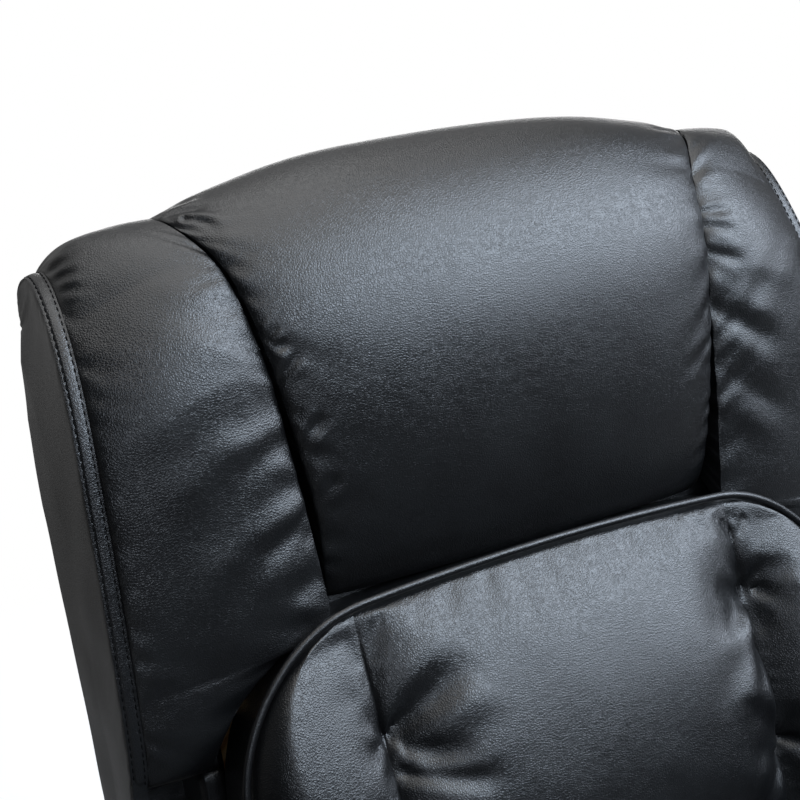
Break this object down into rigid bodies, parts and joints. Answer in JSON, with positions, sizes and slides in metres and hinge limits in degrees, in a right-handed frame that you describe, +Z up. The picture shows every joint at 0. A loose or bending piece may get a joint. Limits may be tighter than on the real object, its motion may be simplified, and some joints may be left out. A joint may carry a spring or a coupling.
{
  "type": "swivel recliner with ottoman",
  "caption": "Swivel recliner in padded black leatherette on a round wrapped base, with winged back, headrest roll, tufted piped cushions, side clamp knob and a matching ottoman.",
  "frame": {"origin": "on the floor, at the centre of the floor rectangle that the chair and its ottoman cover together", "axes": "+Z up, the sitter faces -Y with the ottoman ahead of the chair, +X to the right of someone who looks at the chair from the front"},
  "size_m": [0.78, 1.3713, 1.014],
  "materials": {
    "black_leather": "satin",
    "leather_piping": "satin",
    "rubber_glide": "matte",
    "plywood": "matte",
    "frame_timber": "matte",
    "dust_cloth": "matte",
    "knob_plastic": "satin",
    "spring_steel": "satin",
    "black_plate_steel": "satin",
    "zinc_steel": "satin"
  },
  "bodies": {
    "base": {"base_ring": "black_leather", "base_glides": "rubber_glide", "base_leg_1": "black_leather", "base_leg_2": "black_leather", "base_leg_3": "black_leather", "base_leg_4": "black_leather", "base_hub": "plywood", "leg_bolts": "zinc_steel", "swivel_base_plate": "black_plate_steel", "swivel_balls": "zinc_steel", "swivel_pin": "zinc_steel"},
    "seat": {"swivel_top_plate": "black_plate_steel", "cross_board": "plywood", "side_rail_left": "frame_timber", "side_rail_right": "frame_timber", "front_rail": "frame_timber", "rear_rail": "frame_timber", "seat_springs": "spring_steel", "spring_clips": "spring_steel", "seat_cushion": "black_leather", "seat_piping": "leather_piping", "front_apron": "black_leather", "dust_cover": "dust_cloth", "seat_bolts": "zinc_steel", "arm_board_left": "frame_timber", "arm_board_right": "frame_timber", "arm_panel_left": "black_leather", "arm_panel_right": "black_leather", "arm_pad_left": "black_leather", "arm_pad_right": "black_leather", "hinge_plate_left": "black_plate_steel", "hinge_plate_right": "black_plate_steel", "pivot_bolts": "zinc_steel"},
    "back": {"back_post_left": "frame_timber", "back_post_right": "frame_timber", "back_top_rail": "frame_timber", "back_cross_rails": "frame_timber", "back_springs": "spring_steel", "back_shell": "black_leather", "back_side_left": "black_leather", "back_side_right": "black_leather", "wing_left": "black_leather", "wing_right": "black_leather", "head_roll": "black_leather", "back_cushion": "black_leather", "back_piping": "leather_piping", "back_bracket_left": "black_plate_steel", "back_bracket_right": "black_plate_steel", "bracket_bolts": "zinc_steel"},
    "clamp": {"recline_knob": "knob_plastic", "clamp_shaft": "zinc_steel"},
    "ottoman": {"ottoman_ring": "black_leather", "ottoman_glides": "rubber_glide", "ottoman_legs": "black_leather", "ottoman_hub": "plywood", "ottoman_frame": "frame_timber", "ottoman_apron": "black_leather", "ottoman_bolts": "zinc_steel", "ottoman_cushion": "black_leather", "ottoman_piping": "leather_piping"}
  },
  "joints": [
    {"name": "swivel", "type": "hinge", "parent": "base", "child": "seat", "pos_m": [0, 0.25221, 0.15], "axis": [0, 0, 1], "continuous": true},
    {"name": "recline", "type": "hinge", "parent": "seat", "child": "back", "pos_m": [0, 0.46721, 0.335], "axis": [-1, 0, 0], "range_deg": [0, 31]},
    {"name": "clamp_turn", "type": "hinge", "parent": "seat", "child": "clamp", "pos_m": [0.37, 0.50115, 0.39622], "axis": [1, 0, 0], "range_deg": [0, 180]},
    {"name": "ottoman_move", "type": "slide", "parent": "base", "child": "ottoman", "axis": [0, -1, 0], "range_m": [-0.1, 0.3]}
  ]
}
